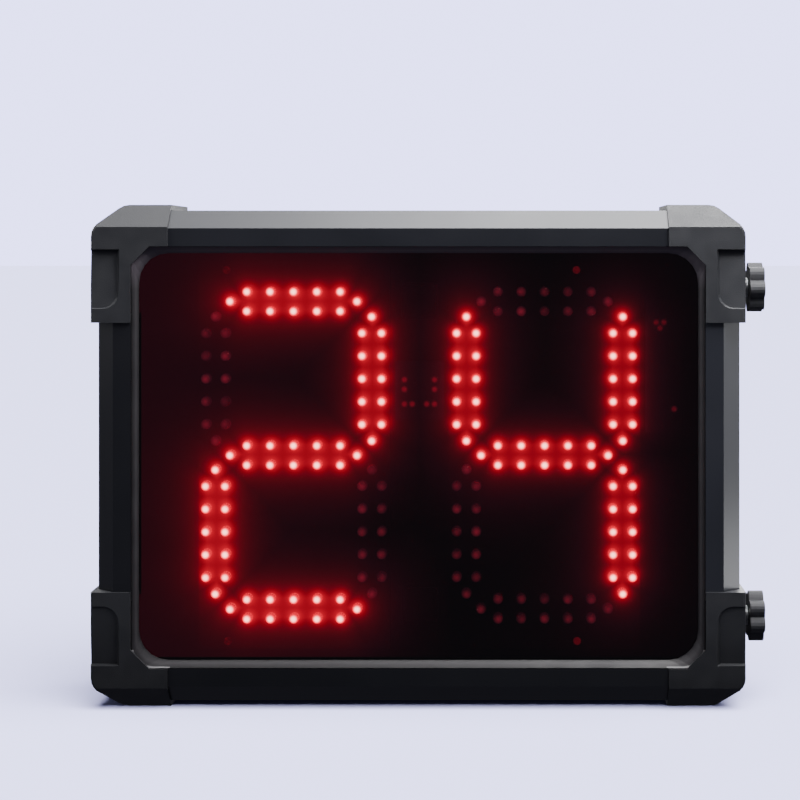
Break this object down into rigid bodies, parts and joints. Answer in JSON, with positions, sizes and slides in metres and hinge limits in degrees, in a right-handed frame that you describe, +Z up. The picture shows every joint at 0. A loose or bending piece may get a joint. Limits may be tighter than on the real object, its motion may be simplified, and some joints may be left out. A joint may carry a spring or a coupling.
{
  "type": "basketball scoreboard",
  "caption": "Basketball scoreboard with lamp digits behind a dark window, an extruded frame with moulded corner caps, and a hinged rear door clamped by star knobs.",
  "frame": {"origin": "bottom centre of the whole clock's box, on the surface that the lower caps stand on", "axes": "+Z up, -Y out of the display window towards the viewer, +X to the viewer's right"},
  "size_m": [0.5284, 0.1062, 0.391],
  "materials": {
    "dark_anodised": "dark anodised extrusion",
    "black_moulding": "fine satin moulding",
    "cast_alloy": "as cast",
    "bead_plastic": "semi-gloss",
    "tinted_acrylic": "polished dark red sheet",
    "black_foam": "closed-cell foam",
    "black_sheet": "matt black paint",
    "lamp_board": "dark board with red lamps",
    "green_board": "circuit board",
    "powder_coated_sheet": "fine powder coat",
    "zinc_plate": "bright zinc plate",
    "brass": "turned",
    "glossy_black": "glossy",
    "perforated_casing": "bare perforated casing"
  },
  "bodies": {
    "housing": {"top_rail": "dark_anodised", "bottom_rail": "dark_anodised", "left_rail": "dark_anodised", "right_rail": "dark_anodised", "corner_cap_top_left": "black_moulding", "corner_cap_top_right": "black_moulding", "corner_cap_bottom_left": "black_moulding", "corner_cap_bottom_right": "black_moulding", "corner_bracket_top_left": "cast_alloy", "corner_bracket_top_right": "cast_alloy", "corner_bracket_bottom_left": "cast_alloy", "corner_bracket_bottom_right": "cast_alloy", "window_bead": "bead_plastic", "display_window": "tinted_acrylic", "window_gasket": "black_foam", "carrier_plate": "black_sheet", "digit_board_tens": "lamp_board", "digit_board_units": "lamp_board", "indicator_board": "lamp_board", "status_board": "lamp_board", "power_supply": "perforated_casing", "supply_terminals": "black_moulding", "control_board": "green_board", "sounder": "black_moulding", "upper_hinge_frame_leaf": "zinc_plate", "upper_hinge_pin": "zinc_plate", "lower_hinge_frame_leaf": "zinc_plate", "lower_hinge_pin": "zinc_plate", "upper_clamp_insert": "brass", "lower_clamp_insert": "brass"},
    "rear_door": {"rear_door": "powder_coated_sheet", "door_seal": "black_foam", "upper_hinge_door_leaf": "zinc_plate", "lower_hinge_door_leaf": "zinc_plate", "mains_inlet": "black_moulding", "switch_housing": "black_moulding", "signal_socket": "zinc_plate", "signal_socket_nut": "zinc_plate"},
    "power_rocker": {"power_rocker": "glossy_black"},
    "upper_knob": {"upper_star_knob": "glossy_black", "upper_knob_stud": "zinc_plate", "upper_knob_washer": "zinc_plate"},
    "lower_knob": {"lower_star_knob": "glossy_black", "lower_knob_stud": "zinc_plate", "lower_knob_washer": "zinc_plate"}
  },
  "joints": [
    {"name": "door_hinge", "type": "hinge", "parent": "housing", "child": "rear_door", "pos_m": [-0.2612, 0.01145, 0.1955], "axis": [0, 0, 1], "range_deg": [0, 110]},
    {"name": "power_switch", "type": "hinge", "parent": "rear_door", "child": "power_rocker", "pos_m": [0.0974, 0.04325, 0.0955], "axis": [1, 0, 0], "range_deg": [-18, 0]},
    {"name": "upper_knob_turn", "type": "hinge", "parent": "housing", "child": "upper_knob", "pos_m": [0.26, -0.00755, 0.3259], "axis": [1, 0, 0], "continuous": true},
    {"name": "lower_knob_turn", "type": "hinge", "parent": "housing", "child": "lower_knob", "pos_m": [0.26, -0.00755, 0.0651], "axis": [1, 0, 0], "continuous": true}
  ]
}
